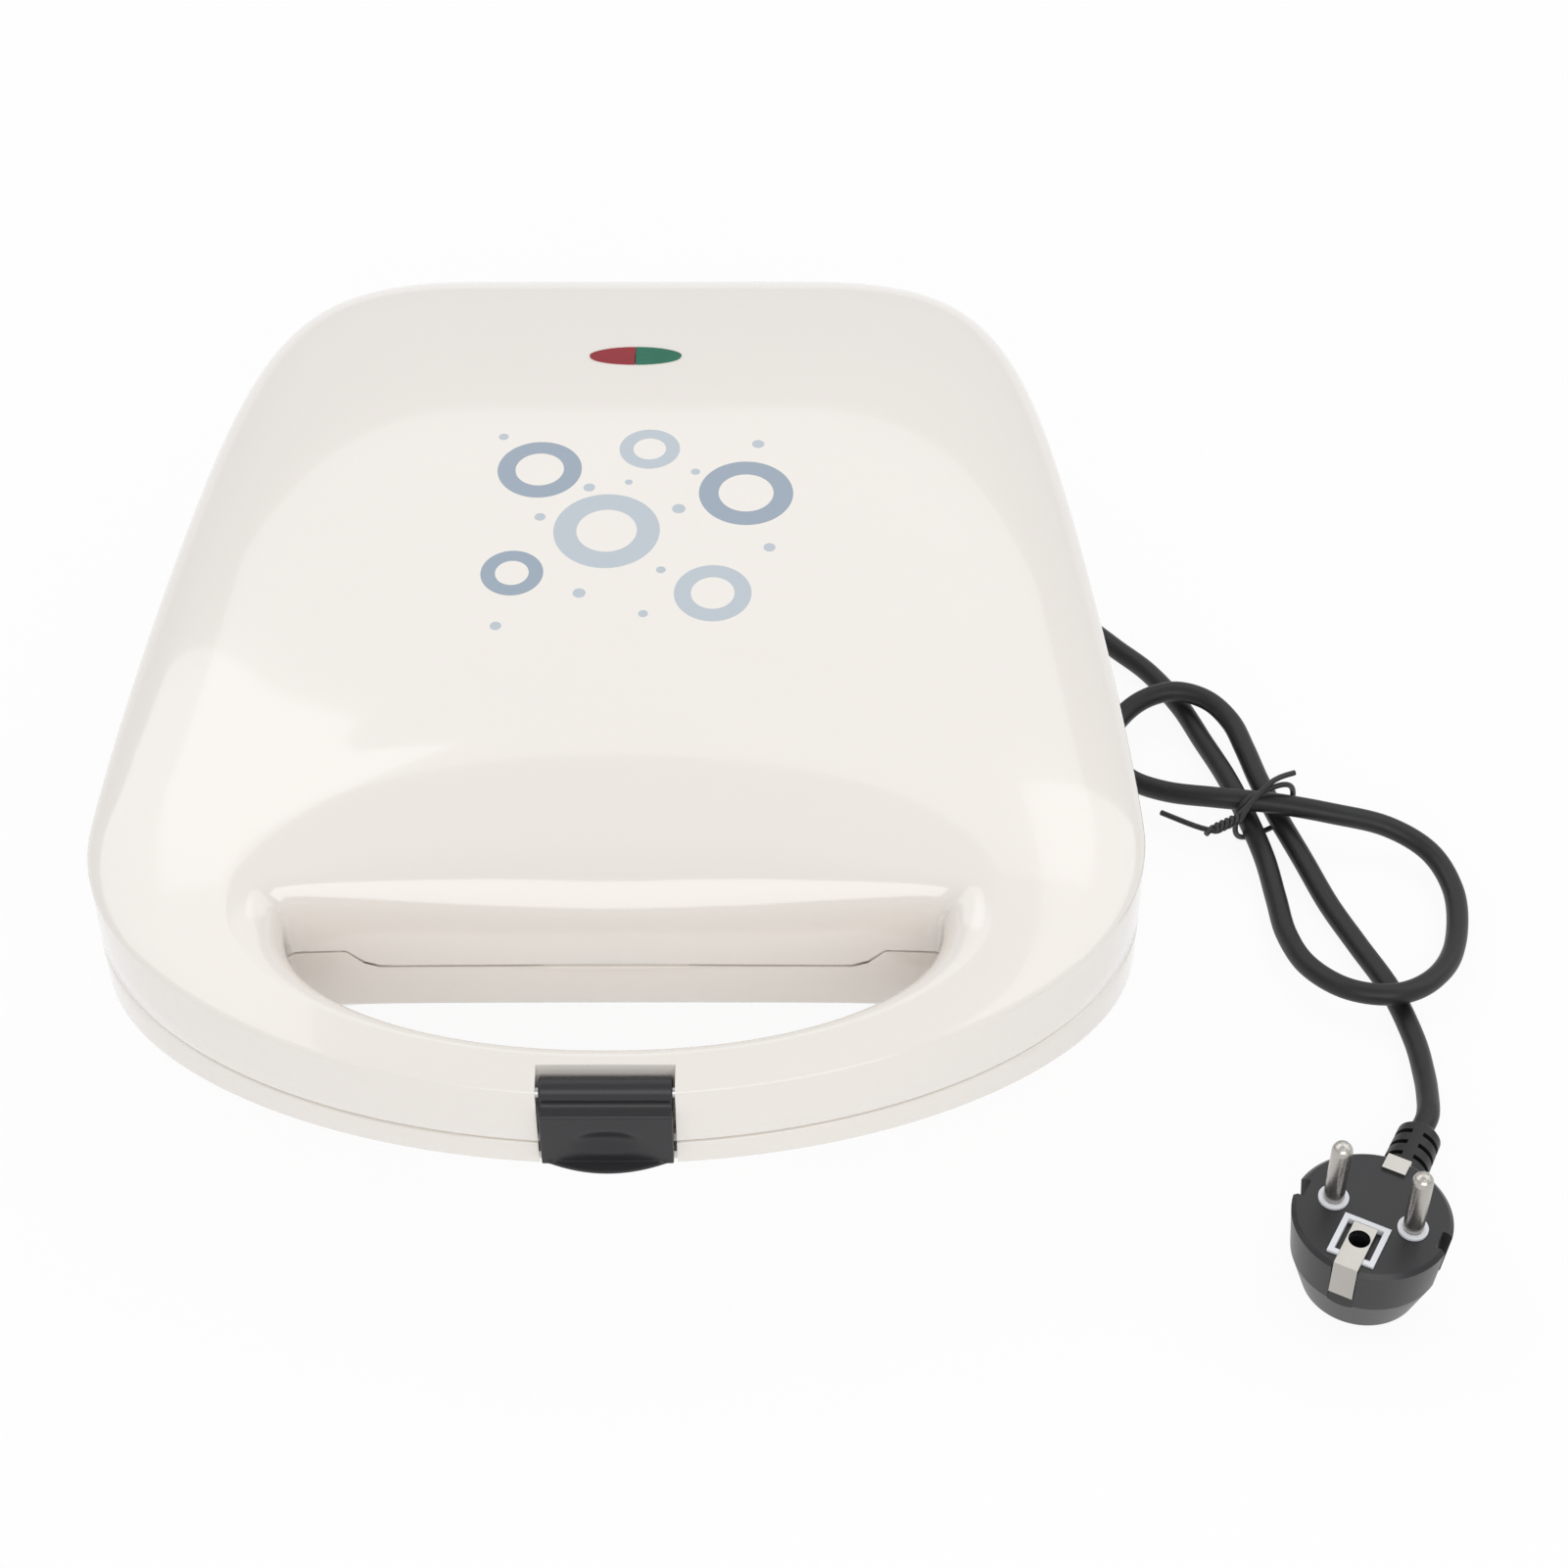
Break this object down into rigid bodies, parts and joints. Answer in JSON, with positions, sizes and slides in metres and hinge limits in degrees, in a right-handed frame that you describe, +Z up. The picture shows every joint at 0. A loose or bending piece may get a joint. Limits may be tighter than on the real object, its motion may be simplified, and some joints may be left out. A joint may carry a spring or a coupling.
{
  "type": "donut maker",
  "caption": "Closed electric ring-donut maker with a hinged lid, a handle hole, a latch at the front, an indicator lamp window and a tied mains cord with a grounded plug.",
  "frame": {"origin": "centre of the object's box at the height of the surface that it stands on, measured without the cord, its strain relief, tie and plug", "axes": "+X to the right seen from the front, +Y towards the hinges at the rear, +Z up; the latch and handle face -Y"},
  "size_m": [0.3409, 0.385, 0.0903],
  "materials": {
    "cream_gloss": "glossy moulded cream plastic",
    "rubber_black": "satin black flexible PVC",
    "steel_sheet": "bright rolled sheet",
    "steel_zinc": "zinc plated",
    "nonstick_plate": "black non-stick coating on cast aluminium",
    "heater_steel": "heat-tinted tube",
    "white_plastic": "white heat-resistant moulding",
    "fuse_metal": "plain",
    "black_plastic": "semi-gloss black moulding",
    "lens_red": "clear moulded",
    "lens_green": "clear moulded",
    "lamp_glass": "small neon bulbs",
    "nickel": "nickel plated"
  },
  "bodies": {
    "base": {"base_shell": "cream_gloss", "feet": "rubber_black", "lower_reflector": "steel_sheet", "reflector_screws_lower": "steel_zinc", "lower_plate": "nonstick_plate", "plate_spacers_lower": "steel_zinc", "plate_screws_lower": "steel_zinc", "lower_heater": "heater_steel", "thermostat": "white_plastic", "thermal_fuse": "fuse_metal", "terminal_block": "white_plastic", "cord_clamp": "black_plastic", "cord_tail": "rubber_black", "cord_gland": "rubber_black", "hinge_brackets_base": "cream_gloss", "hinge_screws_base": "steel_zinc", "hinge_pins": "steel_zinc", "cord": "rubber_black", "twist_tie": "black_plastic", "plug_body": "black_plastic", "plug_face_frame": "white_plastic", "plug_pins": "nickel", "plug_pin_collars": "white_plastic", "plug_earth_contacts": "nickel", "plug_strain_relief": "rubber_black"},
    "lid": {"lid_shell": "cream_gloss", "upper_reflector": "steel_sheet", "reflector_screws_upper": "steel_zinc", "upper_plate": "nonstick_plate", "plate_spacers_upper": "steel_zinc", "plate_screws_upper": "steel_zinc", "upper_heater": "heater_steel", "red_lens": "lens_red", "green_lens": "lens_green", "lamp_holder": "white_plastic", "neon_lamps": "lamp_glass", "hinge_brackets_lid": "cream_gloss", "hinge_screws_lid": "steel_zinc", "latch_pin": "steel_zinc"},
    "latch": {"latch": "black_plastic"}
  },
  "joints": [
    {"name": "lid_hinge", "type": "hinge", "parent": "base", "child": "lid", "pos_m": [0, 0.1482, 0.0445], "axis": [-1, 0, 0], "range_deg": [0, 100]},
    {"name": "latch_pivot", "type": "hinge", "parent": "lid", "child": "latch", "pos_m": [0, -0.1453, 0.0584], "axis": [-1, 0, 0], "range_deg": [0, 35]}
  ]
}
